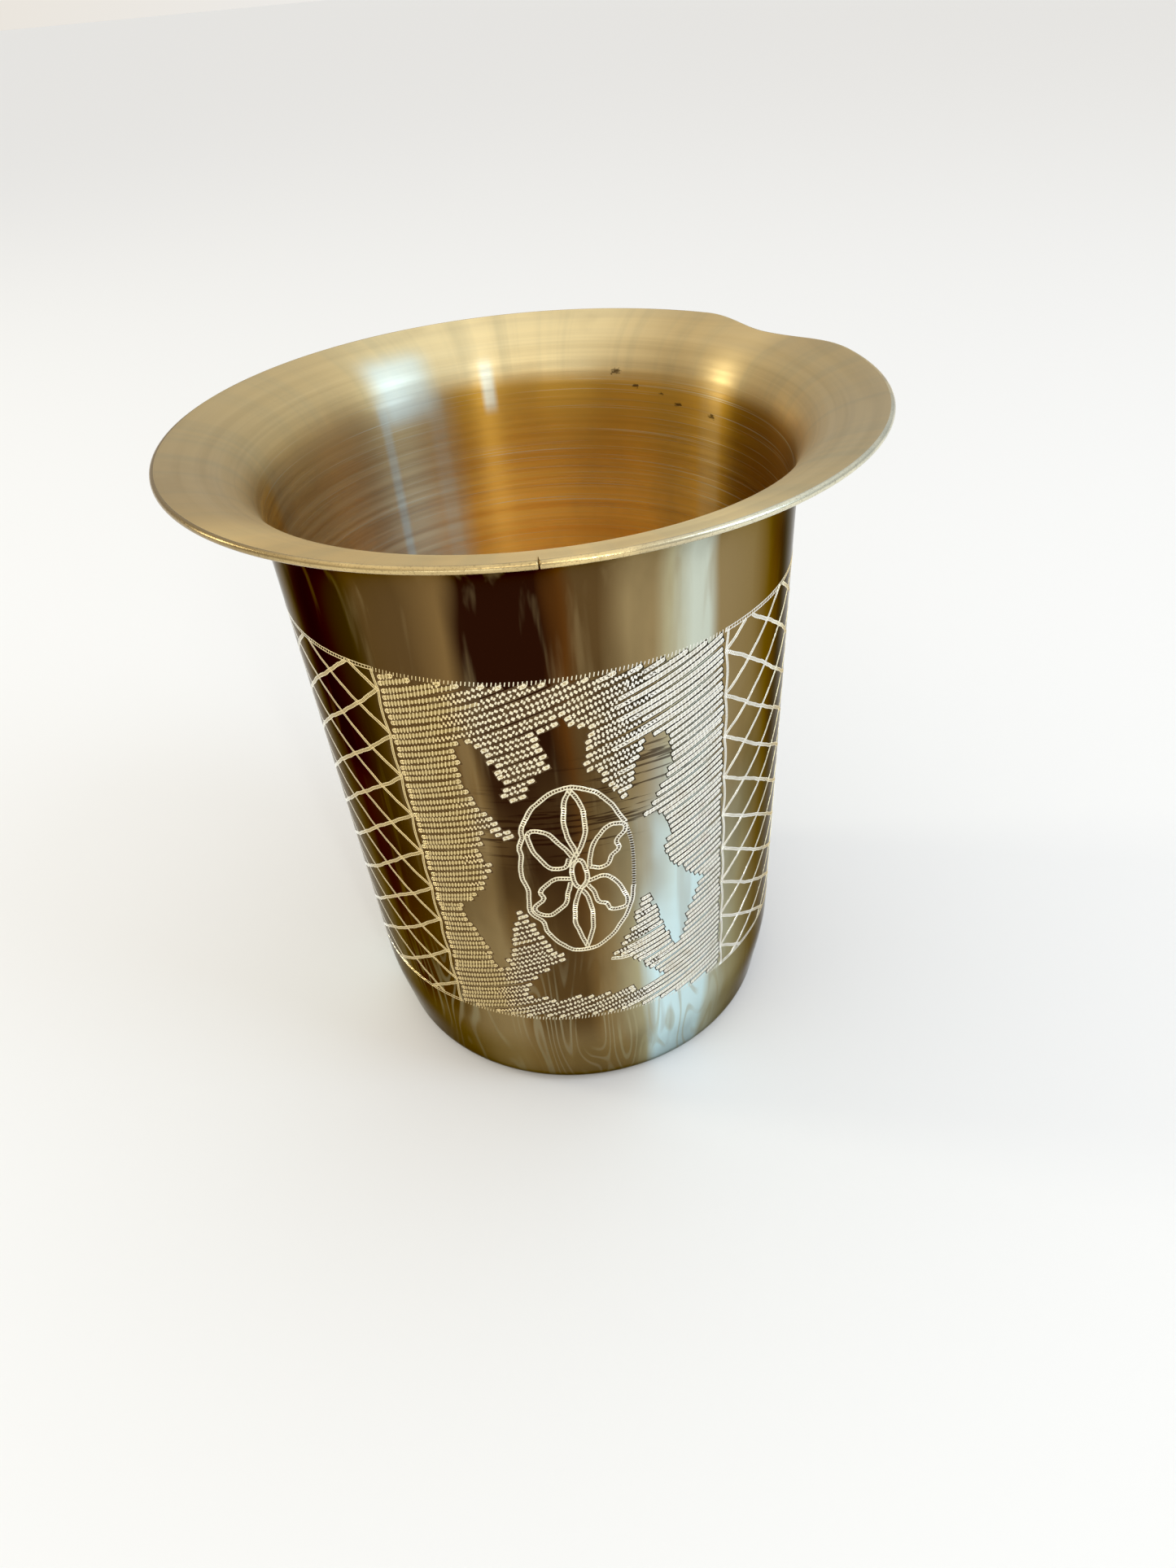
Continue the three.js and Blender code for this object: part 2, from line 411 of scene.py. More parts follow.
def on_wall(flat, lift, turn):
    """Wraps (s, z) round the wall at a turn: the angle is s over the mean radius, and the radius is
    that of the straight wall at z, plus a lift."""
    size = shell_sizes()
    theta = flat[..., 0] / band_sizes().mean_radius + turn
    height = flat[..., 1]
    radius = size.foot_radius + wall_slope(size) * (height - size.foot_height) + lift
    return np.stack((radius * np.sin(theta), -radius * np.cos(theta), height), -1)


# Sections of one limb of a stroke, across it and up, with its material's number. A ridge is one
# sharp burr, a bead is a burr with a bright flat top, a ribbon is the worked floor of a row of
# cuts, and a shade strip is the dark painted shade under and beside it.
RIDGE = (0, np.array(((-1, -0.35), (0, 1), (1, -0.35))))
BEAD = (0, np.array(((-1, -0.3), (-0.64, 0.6), (0.64, 0.6), (1, -0.3))))
RIBBON = (1, np.array(((-1, -0.2), (-0.86, 0.24), (0.86, 0.24), (1, -0.2))))
SHADE_STRIP = (2, np.array(((-1, -0.2), (-0.9, 0.1), (0.9, 0.1), (1, -0.2))))
# A limb runs past its line's ends by this share of its width
LIMB_OVERRUN = 0.3


def limb_vertices(starts, ends, cut_width, profile, turn):
    """Vertices of many limbs: the line's end, plus a step across the line times the section's
    breadth, lifted by the section's height. A narrower limb is lower too."""
    band = band_sizes()
    way = ends - starts
    way = way / np.maximum(np.linalg.norm(way, axis=1, keepdims=True), 1e-9)
    past = way * cut_width * LIMB_OVERRUN
    side = np.stack((way[:, 1], -way[:, 0]), 1)
    spine = np.stack((starts - past, ends + past), 1)
    breadth = cut_width / 2 * profile[:, 0]
    lift = band.burr * math.sqrt(cut_width / band.cut_width) * profile[:, 1]
    flat = spine[:, :, None, :] + side[:, None, None, :] * breadth[None, None, :, None]
    return on_wall(flat, lift[None, None], turn).reshape(-1, 3)


def limb_faces(count, corners, first):
    """Faces of so many limbs, with vertices from the first on: a strip for each side of the
    section, and two ends."""
    ring = [(k, (k + 1) % corners) for k in range(corners)]
    strips = [(k, ahead, corners + ahead, corners + k) for k, ahead in ring]
    caps = [(0, *range(corners - 1, 0, -1)), tuple(range(corners, 2 * corners))]
    offsets = first + 2 * corners * np.arange(count)[:, None, None]
    return [face for some in (strips, caps)
            for face in (np.array(some) + offsets).reshape(-1, len(some[0])).tolist()]


def engraved_piece(name, groups, turn):
    """A piece of the engraving, set on the wall, from groups of limbs: start points, end points,
    width and section."""
    points = []
    faces = []
    kinds = []
    count = 0
    for starts, ends, cut_width, (kind, profile) in groups:
        points.append(limb_vertices(starts, ends, cut_width, profile, turn))
        some = limb_faces(len(starts), len(profile), count)
        faces += some
        kinds += [kind] * len(some)
        count += len(points[-1])
    # Painted light on the cuts and rows, pale where lit on the right, and painted shade in the dark
    # strips
    materials = [painted("bright_cut_brass", cut_brass, CUT_LIGHT_COLUMNS, 0.2),
                 painted("worked_row_brass", cut_brass, ROW_LIGHT_COLUMNS, 0.3),
                 painted("shaded_gap_brass", cut_brass, GAP_SHADE_COLUMNS, 0.35)]
    piece = add_piece(name, np.vstack(points), faces, materials, kinds)
    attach(piece, "root")


def smooth_path(points, steps=8):
    """A soft curve through the points, closed where the last is the first. Between two points it is
    the cubic whose slope at each is half the step from the point before to the point after."""
    closed = np.allclose(points[0], points[-1])
    before = points[-2] if closed else 2 * points[0] - points[1]
    after = points[1] if closed else 2 * points[-1] - points[-2]
    row = np.vstack((before, points, after))
    a, b, c, d = (row[k:len(row) - 3 + k][:, None, :] for k in range(4))
    t = np.linspace(0, 1, steps, endpoint=False)[None, :, None]
    curve = b + 0.5 * t * (c - a + t * (2 * a - 5 * b + 4 * c - d + t * (3 * (b - c) + d - a)))
    return np.vstack((curve.reshape(-1, 2), points[-1:]))


def resampled(path, step):
    """Points at equal steps along a path, and the directions across it."""
    leg = np.linalg.norm(np.diff(path, axis=0), axis=1)
    run = np.concatenate(((0,), np.cumsum(leg)))
    at = np.linspace(0, run[-1], max(2, int(round(run[-1] / step))) + 1)
    points = np.stack((np.interp(at, run, path[:, 0]), np.interp(at, run, path[:, 1])), 1)
    way = np.gradient(points, axis=0)
    way /= np.maximum(np.linalg.norm(way, axis=1, keepdims=True), 1e-9)
    return points, np.stack((-way[:, 1], way[:, 0]), 1)


# Kinds of wriggle stroke: pitch as a share of the band's, which swing and the share of it, width
# as a share of a cut, whether it is edged, its floor's section, and how far it wavers
STROKES = {
    "stray": (1, "line_swing", 1, 1, True, None, 0),
    "oval_side": (0.9, "fine_swing", 0.8, 1.2, False, SHADE_STRIP, 0),
    "flower": (0.8, "fine_swing", 0.9, 1.35, True, SHADE_STRIP, 0.05 * MM),
    "lattice": (0.8, "line_swing", 1, 0.7, True, RIBBON, 0.04 * MM),
    "plain_border": (1, "line_swing", 1.2, 0.75, False, None, 0),
    "edged_border": (1, "line_swing", 1.2, 0.75, True, None, 0),
    "panel_side": (1, "line_swing", 0.7, 0.75, True, RIBBON, 0),
}
# A stroke wavers over two lengths, by a share of its waver each. Its rungs vary in reach and tilt
# along it, and its edges shake, by shares of the swing.
WAVERS = ((1.1 * MM, 1), (0.47 * MM, 0.7))
RUNG_SPREAD = 0.1
RUNG_TILT = 0.2
EDGE_SHAKE = 0.06
# Widths of the rungs of an edged stroke and of its edges, as shares of the stroke's, and of its
# floor as a share of the swing
EDGED_RUNG_WIDTH = 0.6
STROKE_EDGE_WIDTH = 0.8
FLOOR_WIDTH = 1.8


def wriggle(path, kind, rng):
    """A wriggle stroke as groups of limbs: rungs one pitch apart that reach the swing to both
    sides, its floor, and the bright line that the graver's heel leaves along both sides of an
    edged stroke. The whole stroke wavers as the sum of two sines."""
    band = band_sizes()
    pitch_share, swing_name, swing_share, width_share, edged, floor, waver = STROKES[kind]
    pitch = band.pitch * pitch_share
    swing = getattr(band, swing_name) * swing_share
    width = band.cut_width * width_share
    points, across = resampled(path, pitch)
    count = (len(points), 1)
    run = np.arange(len(points))[:, None] * pitch
    sway = sum(share * np.sin(run / length + rng.uniform(0, TAU)) for length, share in WAVERS)
    points = points + across * waver * sway
    rung = across * swing * (1 + RUNG_SPREAD * rng.standard_normal(count))
    rung = rung + np.stack((across[:, 1], -across[:, 0]), 1) * RUNG_TILT * swing
    rung_width = width * EDGED_RUNG_WIDTH if edged else width
    limbs = [(points - rung, points + rung, rung_width, RIDGE)]
    if floor:
        limbs.append((points[:-1], points[1:], swing * FLOOR_WIDTH, floor))
    for side in (1, -1) if edged else ():
        shaken = 1 + EDGE_SHAKE * rng.standard_normal(count)
        line = points + across * side * swing * shaken
        limbs.append((line[:-1], line[1:], width * STROKE_EDGE_WIDTH, BEAD))
    return limbs


def inside_outline(points, outline):
    """True where a ray from a point to the right crosses the edges of a closed outline an odd
    number of times."""
    a = outline[None]
    b = np.roll(outline, -1, axis=0)[None]
    x, z = points[:, 0:1], points[:, 1:2]
    spans = (a[..., 1] > z) != (b[..., 1] > z)
    rise = np.where(b[..., 1] == a[..., 1], 1e-12, b[..., 1] - a[..., 1])
    crossing = a[..., 0] + (z - a[..., 1]) / rise * (b - a)[..., 0]
    return (spans & (x < crossing)).sum(1) % 2 == 1


def side_line(degrees, band):
    """A function of height that gives s on a side line, straight between its ends."""
    top, bottom = (math.radians(d) * band.mean_radius for d in degrees)
    return lambda z: bottom + (top - bottom) * (z - band.bottom) / (band.top - band.bottom)


# Points on a side line, and places along a row at which its rungs are counted
SIDE_POINTS = 400
ROW_PLACES = 4000


def side_path(degrees, band, bow):
    """A side line that bows out between the lattice's nodes, by the bow times the sine of its place
    between two nodes."""
    z = np.linspace(band.top, band.bottom, SIDE_POINTS)
    place = (TOP_NODE - z) / band.lattice_pitch
    return np.stack((side_line(degrees, band)(z) + bow * np.abs(np.sin(math.pi * place)), z), 1)


# Rows rise more steeply in the middle of a panel, between these turn angles
STEEP_ROWS = np.radians((-17, 8))
STEEP_ROW_RISE = math.radians(22)
# Where the graver rocked in longer steps: turn angle, spread and how much longer
LOOSE_TURN = math.radians(-11)
LOOSE_SPREAD = math.radians(10)
LOOSE_SHARE = 0.3
# Between these turn angles a row shows as bright dots, and outside them as a bright ribbon
DOTTED_ROWS = np.radians((-20, 17))
DOTTED_SPREAD = math.radians(3)
# To the right of this turn angle a ribbon has two bright edges, and further on it is narrower
EDGED_ROWS = math.radians(14)
NARROW_ROWS = (np.radians((12, 20)), (1, 0.84))
# So many rungs at each end of a row lie on a bright ribbon
TIP_RUNGS = 1
# How much the rungs lean along the row, as turn angles and shares of the swing
RUNG_LEAN = (np.radians((-36, -20, -11, 2, 16, 38)), (0, 0.2, 0.45, 0.4, 0.1, -0.2))
# How far the rungs reach as a share of the swing, and how much that varies
RUNG_REACH = 0.92
REACH_SPREAD = 0.14
# The two dots of a rung: start and end as shares of the rung, and place as a share of the pitch
DOTS = ((-1, -0.3, -0.25), (0.3, 1, 0.25))
DOT_SCATTER = 0.035 * MM
# How unevenly the rows lie and end, and how long one bend of a row's sway is
ROW_JITTER = 0.03 * MM
ROW_SWAY = 0.05 * MM
ROW_SWAY_LENGTH = 3 * MM
RAGGED_ENDS = 0.16 * MM
# Widths of a rung, a dot, a turn at a row's end and an edge, as shares of a cut, and of a ribbon,
# with its edges' distance from its middle, as shares of the swing
RUNG_WIDTH = 0.95
DOT_WIDTH = 1.35
END_WIDTH = 0.7
EDGE_WIDTH = 0.75
RIBBON_WIDTH = 1.5
EDGE_OFF = 0.7
# How far a row's strip of painted shade and its ribbon run past the last rung, as shares of the
# pitch
SHADE_STRIP_PAST = 0.5
RIBBON_PAST = 0.45
# The bulge of the turn that closes a row, and the longest straight piece of a row
END_BULGE = 0.12 * MM
ROW_PIECE = 0.8 * MM
# The hatching starts and ends this far from a border line and from the left and right side lines
BORDER_GAP = 0.35 * MM
LEFT_GAP = 0.55 * MM
RIGHT_GAP = 0.5 * MM
# Rows are laid out this far to both sides of a panel's middle, and past the borders
HATCH_HALF_TURN = math.radians(42)
HATCH_MARGIN = 4 * MM


def rocking_steps(band, half_width):
    """Where along a row the rungs lie. The pitch is longer by a share that falls off from the loose
    place as a bell curve. The sum of one over the pitch is read backwards at whole numbers."""
    s = np.linspace(-half_width, half_width, ROW_PLACES)
    off = (s / band.mean_radius - LOOSE_TURN) / LOOSE_SPREAD
    pitch = band.pitch * (1 + LOOSE_SHARE * np.exp(-off * off))
    count = np.concatenate(((0,), np.cumsum(np.diff(s) / pitch[1:])))
    return np.interp(np.arange(int(count[-1])), count, s)


def run_parts(keep, s, past):
    """The runs of kept rungs in each row, a little longer at both ends, cut into equal parts: row
    number, start s, end s, and whether a part is the first and the last of its run."""
    blank = np.zeros((len(keep), 1), bool)
    row, first = np.nonzero(keep & ~np.hstack((blank, keep[:, :-1])))
    last = np.nonzero(keep & ~np.hstack((keep[:, 1:], blank)))[1]
    start = s[first] - past
    end = s[last] + past
    parts = np.ceil((end - start) / ROW_PIECE).astype(int)
    run = np.repeat(np.arange(len(parts)), parts)
    nth = np.arange(len(run)) - np.repeat(np.cumsum(parts) - parts, parts)
    step = ((end - start) / parts)[run]
    low = start[run] + nth * step
    return row[run], low, low + step, nth == 0, nth == parts[run] - 1


def hatch_limbs(band, rng):
    """The hatched ground: parallel rows of cuts that rise to the right, more steeply in the middle,
    kept between the side lines and outside the plain figure. Rungs lie on a dark strip of painted
    shade, and a round turn closes each row. At its ends and towards the panel's sides a row is also
    a bright ribbon, edged on the right, and in the middle a rung shows only as two dots."""
    rise = math.tan(band.row_rise)
    steeper = math.tan(STEEP_ROW_RISE) - rise
    half_width = HATCH_HALF_TURN * band.mean_radius
    beyond = rise * half_width + HATCH_MARGIN
    rows = np.arange(band.bottom - beyond, band.top + beyond, band.row_spacing)
    rows = rows + ROW_JITTER * rng.standard_normal(len(rows))
    waver = rng.uniform(0, TAU, len(rows))
    shift = rng.uniform(-0.5, 0.5, len(rows)) * band.pitch

    def on_row(row, s, up=0):
        bend = steeper * np.clip(s, *STEEP_ROWS * band.mean_radius)
        sway = ROW_SWAY * np.sin(s / ROW_SWAY_LENGTH + waver[row])
        return np.stack((s + shift[row], rows[row] + rise * s + bend + sway + up), -1)

    steps = rocking_steps(band, half_width)
    row, s = np.meshgrid(np.arange(len(rows)), steps, indexing="ij")
    centre = on_row(row, s)
    across, z = centre[..., 0], centre[..., 1]
    ragged = RAGGED_ENDS * rng.standard_normal((len(rows), 1))
    shaken = np.stack((across + ragged, z), -1).reshape(-1, 2)
    keep = ~inside_outline(shaken, laid_flat(FIGURE, band)).reshape(row.shape)
    keep &= (z < band.top - BORDER_GAP) & (z > band.bottom + BORDER_GAP)
    keep &= across > side_line(LEFT_LINE, band)(z) + LEFT_GAP
    keep &= across < side_line(RIGHT_LINE, band)(z) - RIGHT_GAP

    turn = s / band.mean_radius
    blurred = turn + DOTTED_SPREAD * rng.standard_normal((len(rows), 1))
    dotted = (blurred > DOTTED_ROWS[0]) & (blurred < DOTTED_ROWS[1])
    reach = RUNG_REACH * band.swing * (1 + REACH_SPREAD * rng.standard_normal(row.shape))
    reach = reach * np.interp(turn, *NARROW_ROWS)
    rung = np.stack((reach * np.interp(turn, *RUNG_LEAN), reach), -1)
    around = np.pad(keep, ((0, 0), (TIP_RUNGS, TIP_RUNGS)))
    tips = keep & ~np.all([around[:, k:k + keep.shape[1]] for k in range(2 * TIP_RUNGS + 1)], 0)

    width = band.cut_width
    some = keep & ~dotted
    limbs = [((centre - rung)[some], (centre + rung)[some], width * RUNG_WIDTH, BEAD)]
    some = keep & dotted
    for start, end, along in DOTS:
        dot = centre + DOT_SCATTER * rng.standard_normal(centre.shape) + (along * band.pitch, 0)
        limbs.append(((dot + start * rung)[some], (dot + end * rung)[some], width * DOT_WIDTH,
                      BEAD))

    # Painted shade: a dark strip under each run of rungs
    part, low, high, first, last = run_parts(keep, steps, SHADE_STRIP_PAST * band.pitch)
    limbs.append((on_row(part, low), on_row(part, high), band.row_spacing, SHADE_STRIP))
    edge = EDGE_OFF * band.swing
    for tip, out in ((on_row(part, high)[last], END_BULGE), (on_row(part, low)[first], -END_BULGE)):
        limbs += [(tip + (0, edge), tip + (out, 0), width * END_WIDTH, BEAD),
                  (tip + (out, 0), tip - (0, edge), width * END_WIDTH, BEAD)]
    past = RIBBON_PAST * band.pitch
    part, low, high, _, _ = run_parts(keep & (tips | ~dotted), steps, past)
    limbs.append((on_row(part, low), on_row(part, high), RIBBON_WIDTH * band.swing, RIBBON))
    part, low, high, _, _ = run_parts(keep & (tips | (blurred > EDGED_ROWS)), steps, past)
    for up in (edge, -edge):
        limbs.append((on_row(part, low, up), on_row(part, high, up), width * EDGE_WIDTH, BEAD))
    return limbs


# The lattice: height of its top node, nodes past both ends of a side line, diamonds that one
# stroke climbs, points on a stroke and the fewest that are kept, how far its start is off, and
# how far and how often it bends
TOP_NODE = 68.2 * MM
SPARE_NODES = 4
CLIMB = 3
STROKE_POINTS = 60
FEWEST_POINTS = 4
NODE_MISS = 0.12 * MM
STROKE_BEND = 0.16 * MM
STROKE_BENDS = 3


def lattice_limbs(band, rng):
    """The lattice to the right of a panel: strokes that climb three diamonds from one side line to
    the other, both ways, and meet at the nodes, kept between the borders."""
    left = side_line(RIGHT_LINE, band)
    right = side_line([d + 360 / band.panels for d in LEFT_LINE], band)
    t = np.linspace(0, 1, STROKE_POINTS)
    limbs = []
    diamonds = int((band.top - band.bottom) / band.lattice_pitch)
    for k in range(-SPARE_NODES, diamonds + SPARE_NODES + 1):
        node = TOP_NODE - k * band.lattice_pitch
        for climb in (CLIMB * band.lattice_pitch, -CLIMB * band.lattice_pitch):
            z = node + climb * t + NODE_MISS * rng.standard_normal()
            s = left(z) + t * (right(z) - left(z))
            z = z + STROKE_BEND * np.sin(math.pi * STROKE_BENDS * t + rng.uniform(0, TAU))
            keep = (z < band.top) & (z > band.bottom)
            if keep.sum() >= FEWEST_POINTS:
                limbs += wriggle(np.stack((s, z), 1)[keep], "lattice", rng)
    return limbs


def panels(band, seed=0):
    """The number, turn angle and random source of each panel round the cup."""
    return [(k + 1, k * TAU / band.panels, np.random.default_rng(seed + k + 1))
            for k in range(band.panels)]


class PANCHPATRA_OT_hatching(bpy.types.Operator):
    """Adds the hatched ground of each leaf panel, which leaves the figure plain"""
    bl_idname = "panchpatra.hatching"
    bl_label = "Add Hatched Panels"

    def execute(self, context):
        band = band_sizes()
        for number, turn, rng in panels(band, 100):
            limbs = hatch_limbs(band, rng) + wriggle(laid_flat(STRAY_STROKE, band), "stray", rng)
            engraved_piece(f"hatched_panel_{number}", limbs, turn)
        return {"FINISHED"}


class PANCHPATRA_OT_flowers(bpy.types.Operator):
    """Adds the six-petalled flower in its oval to each leaf panel"""
    bl_idname = "panchpatra.flowers"
    bl_label = "Add Oval Flowers"

    def execute(self, context):
        band = band_sizes()
        for number, turn, rng in panels(band, 200):
            limbs = []
            for outline in FLOWER:
                kind = "oval_side" if outline == OVAL_SIDE else "flower"
                limbs += wriggle(smooth_path(laid_flat(outline, band)), kind, rng)
            engraved_piece(f"oval_flower_{number}", limbs, turn)
        return {"FINISHED"}


class PANCHPATRA_OT_lattices(bpy.types.Operator):
    """Adds the diamond lattice between each two leaf panels"""
    bl_idname = "panchpatra.lattices"
    bl_label = "Add Lattices"

    def execute(self, context):
        band = band_sizes()
        for number, turn, rng in panels(band, 300):
            engraved_piece(f"lattice_{number}", lattice_limbs(band, rng), turn)
        return {"FINISHED"}


# The border lines: step between their points, their waver and one bend of it
BORDER_STEP = 0.5 * MM
BORDER_WAVER = 0.06 * MM
BORDER_WAVER_LENGTH = 3.4 * MM


def border_limbs(z, band, rng):
    """The limbs of a border line. Over a panel it is a row of plain rungs, and over the lattice
    that follows it has edges."""
    limbs = []
    for _, turn, _ in panels(band):
        at = turn * band.mean_radius
        left = at + side_line(LEFT_LINE, band)(z)
        right = at + side_line(RIGHT_LINE, band)(z)
        step = TAU / band.panels * band.mean_radius
        for start, end, kind in ((left, right, "plain_border"),
                                 (right, left + step, "edged_border")):
            s = np.arange(start, end, BORDER_STEP)
            path = np.stack((s, z + BORDER_WAVER * np.sin(s / BORDER_WAVER_LENGTH)), 1)
            limbs += wriggle(path, kind, rng)
    return limbs


class PANCHPATRA_OT_borders(bpy.types.Operator):
    """Adds the border lines above and below the band and at the sides of each panel"""
    bl_idname = "panchpatra.borders"
    bl_label = "Add Border Lines"

    def execute(self, context):
        band = band_sizes()
        rng = np.random.default_rng(400)
        for name, z in (("top_border", band.top), ("bottom_border", band.bottom)):
            engraved_piece(name, border_limbs(z, band, rng), 0)
        for number, turn, _ in panels(band):
            limbs = wriggle(side_path(LEFT_LINE, band, -LINE_BOW), "panel_side", rng)
            limbs += wriggle(side_path(RIGHT_LINE, band, LINE_BOW), "panel_side", rng)
            engraved_piece(f"panel_sides_{number}", limbs, turn)
        return {"FINISHED"}


# Materials

def add_node(tree, kind, inputs=None, **settings):
    """Adds a shader node, sets its settings, and fills each input from a value or a socket."""
    node = tree.nodes.new("ShaderNode" + kind)
    for name, value in settings.items():
        setattr(node, name, value)
    for key, value in (inputs or {}).items():
        if isinstance(value, bpy.types.NodeSocket):
            tree.links.new(value, node.inputs[key])
        else:
            node.inputs[key].default_value = value
    return node


def painted(name, paint, *settings):
    """The material of a name. The first time, a paint function fills it with its nodes."""
    material = bpy.data.materials.get(name)
    if material is None:
        material = bpy.data.materials.new(name)
        material.use_nodes = True
        material.node_tree.nodes.clear()
        paint(material.node_tree, *settings)
    return material


def tone(value):
    """A colour for a socket, from a hex code or the name of a brass colour. Anything else stays as
    it is."""
    if not isinstance(value, str):
        return value
    return (*(linear_rgb(value) if value[0] == "#" else getattr(colours(), value)), 1)


def finished(tree, base, rough, **inputs):
    """A shader with its colour, roughness and other inputs, wired to the output. It is metal unless
    they say otherwise."""
    named = {name.replace("_", " "): value for name, value in inputs.items()}
    shader = add_node(tree, "BsdfPrincipled", {"Base Color": tone(base), "Roughness": rough,
                                               "Metallic": 1, **named})
    add_node(tree, "OutputMaterial", {"Surface": shader.outputs["BSDF"]})


def maths(tree, operation, *values):
    """One sum on numbers or sockets."""
    return add_node(tree, "Math", dict(enumerate(values)), operation=operation).outputs[0]


def vector_maths(tree, operation, *values):
    """One sum on vectors. A distance or a length comes out as a number."""
    node = add_node(tree, "VectorMath", dict(enumerate(values)), operation=operation)
    return node.outputs["Value" if operation in ("DISTANCE", "LENGTH") else "Vector"]


def place_on_cup(tree):
    """Where a point lies: its place in metres, its turn angle in degrees, which is the angle of (x,
    -y), and its height in millimetres."""
    place = add_node(tree, "TexCoord").outputs["Object"]
    axes = add_node(tree, "SeparateXYZ", {"Vector": place}).outputs
    turn = maths(tree, "ARCTAN2", axes["X"], maths(tree, "MULTIPLY", axes["Y"], -1))
    return place, maths(tree, "DEGREES", turn), maths(tree, "DIVIDE", axes["Z"], MM)


def noise(tree, feature_mm, detail=3, tilt=(0, 0, 0), offset=(0, 0, 0),
          distortion=0):
    """Noise whose features are so many millimetres long along X, Y and Z."""
    mapping = add_node(tree, "Mapping", {
        "Vector": add_node(tree, "TexCoord").outputs["Object"], "Rotation": tilt,
        "Location": offset, "Scale": tuple(1 / (f * MM) for f in feature_mm)})
    return add_node(tree, "TexNoise", {
        "Vector": mapping.outputs["Vector"], "Scale": 1, "Detail": detail,
        "Distortion": distortion}).outputs["Fac"]


def between(tree, value, low, high, out_low=0, out_high=1):
    """Maps a range of a value softly to another range, and holds it there."""
    return add_node(tree, "MapRange", {
        "Value": value, "From Min": low, "From Max": high, "To Min": out_low,
        "To Max": out_high}, interpolation_type="SMOOTHSTEP").outputs["Result"]


# Sockets of a mix node for its share and its two colours, and for the colour that comes out
MIX_SHARE, MIX_A, MIX_B = 0, 6, 7
MIX_RESULT = 2


def mixed(tree, share, a, b, blend="MIX"):
    """A mix of two colours, each a socket, a hex code or the name of a brass colour."""
    return add_node(tree, "Mix", {MIX_SHARE: share, MIX_A: tone(a), MIX_B: tone(b)},
                    data_type="RGBA", blend_type=blend).outputs[MIX_RESULT]


def tinted(tree, base, name, value, low, high, out_low, out_high, blend="MIX"):
    """Mixes a brass colour into a base, by a share that is a value between low and high."""
    return mixed(tree, between(tree, value, low, high, out_low, out_high), base, name, blend)


def bumped(tree, *layers):
    """Bumps on top of each other, each a height from 0 to 1, the millimetres that it stands for
    and its strength."""
    below = {}
    for height, distance_mm, strength in layers:
        bump = add_node(tree, "Bump", {"Height": height, "Distance": distance_mm * MM,
                                       "Strength": strength, **below})
        below = {"Normal": bump.outputs["Normal"]}
    return below["Normal"]


def from_turn(degrees, out, up):
    """The vector that runs so far out at a turn angle, and so far up."""
    turn = math.radians(degrees)
    return Vector((math.sin(turn) * out, -math.cos(turn) * out, up))


def streak(tree, turn, middle, half, soft, strength=1):
    """A column round a turn angle: full within its half width, and gone past its soft edge."""
    off = maths(tree, "ABSOLUTE", maths(tree, "SUBTRACT", turn, middle))
    return between(tree, off, half, half + soft, strength, 0)


# Columns of painted reflection down the wall: turn angle, colour up at the throat, colour down at
# the foot.
# They repeat with the panels, and each end of the table meets the other.
COLUMN_PERIOD = 120
REFLECTION_COLUMNS = (
    (-60, "wall_shade", "wall_khaki"), (-52, "wall_shade", "wall"),
    (-42, "wall_shade", "wall"), (-36, "wall", "wall"), (-27, "wall", "wall_khaki"),
    (-19, "wall_gold", "wall_khaki"), (-16, "wall_dark", "wall_gold"),
    (-8, "wall_dark", "wall"), (-0.5, "wall_dark", "wall"), (2.5, "wall_warm", "wall"),
    (5.5, "wall", "wall_gold"), (9, "wall", "wall_khaki"), (14, "wall_khaki", "wall_grey"),
    (18.5, "wall_khaki", "wall_pale"), (22, "wall_grey", "wall_pale"),
    (28, "wall_silver", "wall_pale"), (32, "wall_silver", "wall_pale"),
    (35, "wall_khaki", "wall_silver"), (46, "wall_khaki", "wall_grey"),
    (56, "wall_gold", "wall_khaki"), (60, "wall_shade", "wall_khaki"),
)
# Painted light on the bright cuts and the rows' floors, golden on the left and pale where lit on
# the right, and painted shade in the strips between, in the same way
CUT_LIGHT_COLUMNS = ((-60, "cut"), (-54, "cut_gold"), (-22, "cut_gold"), (-15, "cut"),
               (6, "cut"), (16, "cut_pale"), (52, "cut_pale"), (60, "cut"))
ROW_LIGHT_COLUMNS = ((-60, "row"), (-22, "row"), (-13, "row_light"), (10, "row_light"),
               (18, "row_pale"), (52, "row_pale"), (60, "row"))
GAP_SHADE_COLUMNS = ((-60, "grime"), (-24, "grime"), (-16, "grime_dark"),
                 (4, "grime_dark"), (18, "grime_grey"), (50, "grime_grey"),
                 (60, "grime"))


def column_ramp(tree, turn, stops):
    """A colour ramp over one repeat of the columns, from pairs of turn angle and colour. It is read
    at what is left of a turn after whole periods."""
    lap = maths(tree, "ADD", turn, COLUMN_PERIOD / 2)
    lap = maths(tree, "FLOORED_MODULO", lap, COLUMN_PERIOD)
    ramp = add_node(tree, "ValToRGB", {"Fac": maths(tree, "DIVIDE", lap, COLUMN_PERIOD)})
    elements = ramp.color_ramp.elements
    for number, (degrees, name) in enumerate(stops):
        where = degrees / COLUMN_PERIOD + 0.5
        stop = elements[number] if number < 2 else elements.new(where)
        stop.position = where
        stop.color = tone(name)
    return ramp.outputs["Color"]


# Where the wall was rubbed across: turn angle, height and reach in millimetres
RUBBED_SPOTS = ((18, 56, 8), (3, 52, 9.5), (-10, 51, 8), (-108, 40, 11),
                (140, 60, 10))
RUBBED_RADIUS = 31.4


